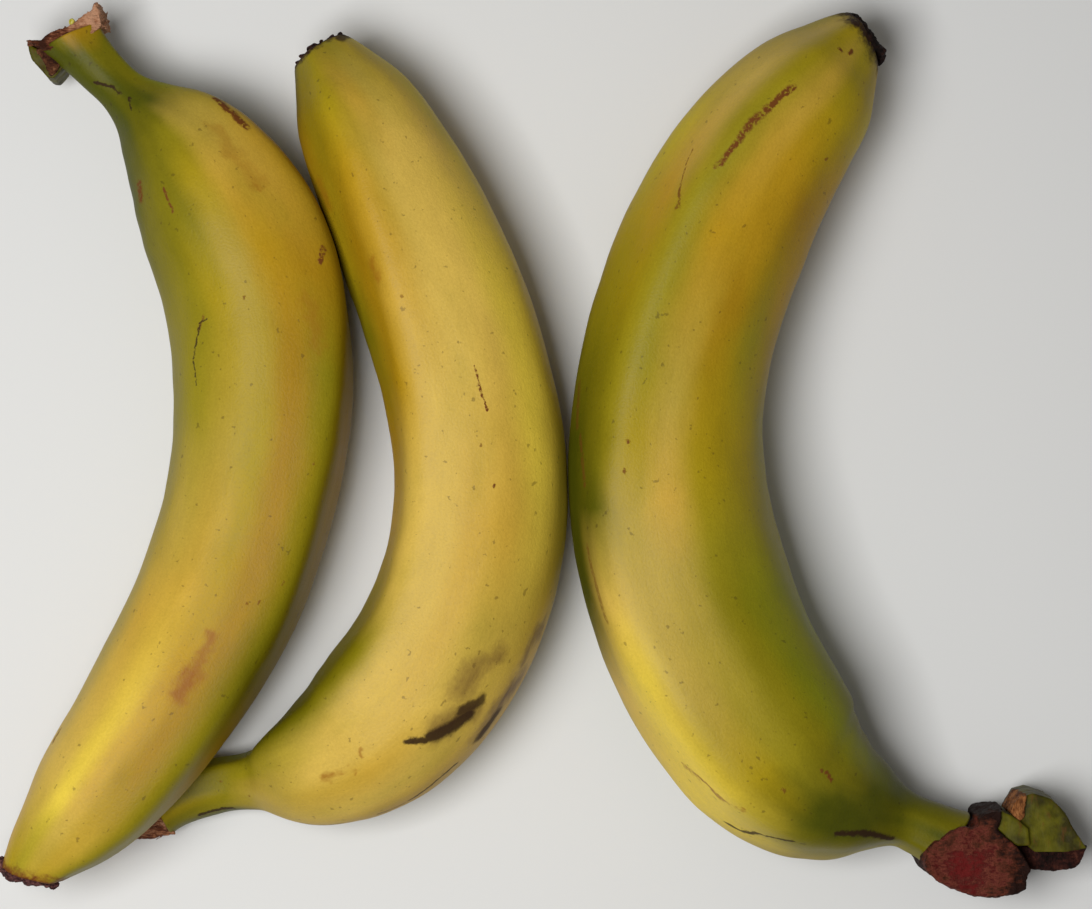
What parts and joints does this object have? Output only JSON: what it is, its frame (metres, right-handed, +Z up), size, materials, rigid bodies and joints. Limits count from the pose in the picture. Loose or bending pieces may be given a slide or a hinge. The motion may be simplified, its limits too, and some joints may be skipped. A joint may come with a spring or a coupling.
{
  "type": "bunch of bananas",
  "caption": "Bunch of loose curved bananas lying side by side on their flanks, green-yellow speckled peel, torn stems and dried tips.",
  "frame": {"origin": "on the surface the bananas lie on, under the middle of the bunch's bounding box", "axes": "+X across the fingers towards the right banana, +Y along them to the back, where the left banana has its stem, +Z up"},
  "size_m": [0.2242, 0.184, 0.0408],
  "materials": {
    "peel_left": "satin ripe banana peel, green at the stem, golden towards the tip, brown marks",
    "peel_middle": "satin ripe banana peel, golden yellow with bruises, olive at the tip",
    "peel_right": "satin ripe banana peel, green flank, brown speckles along one ridge, dried crown"
  },
  "bodies": {
    "root": {"banana_left": "peel_left", "banana_middle": "peel_middle", "banana_right": "peel_right"}
  },
  "joints": []
}
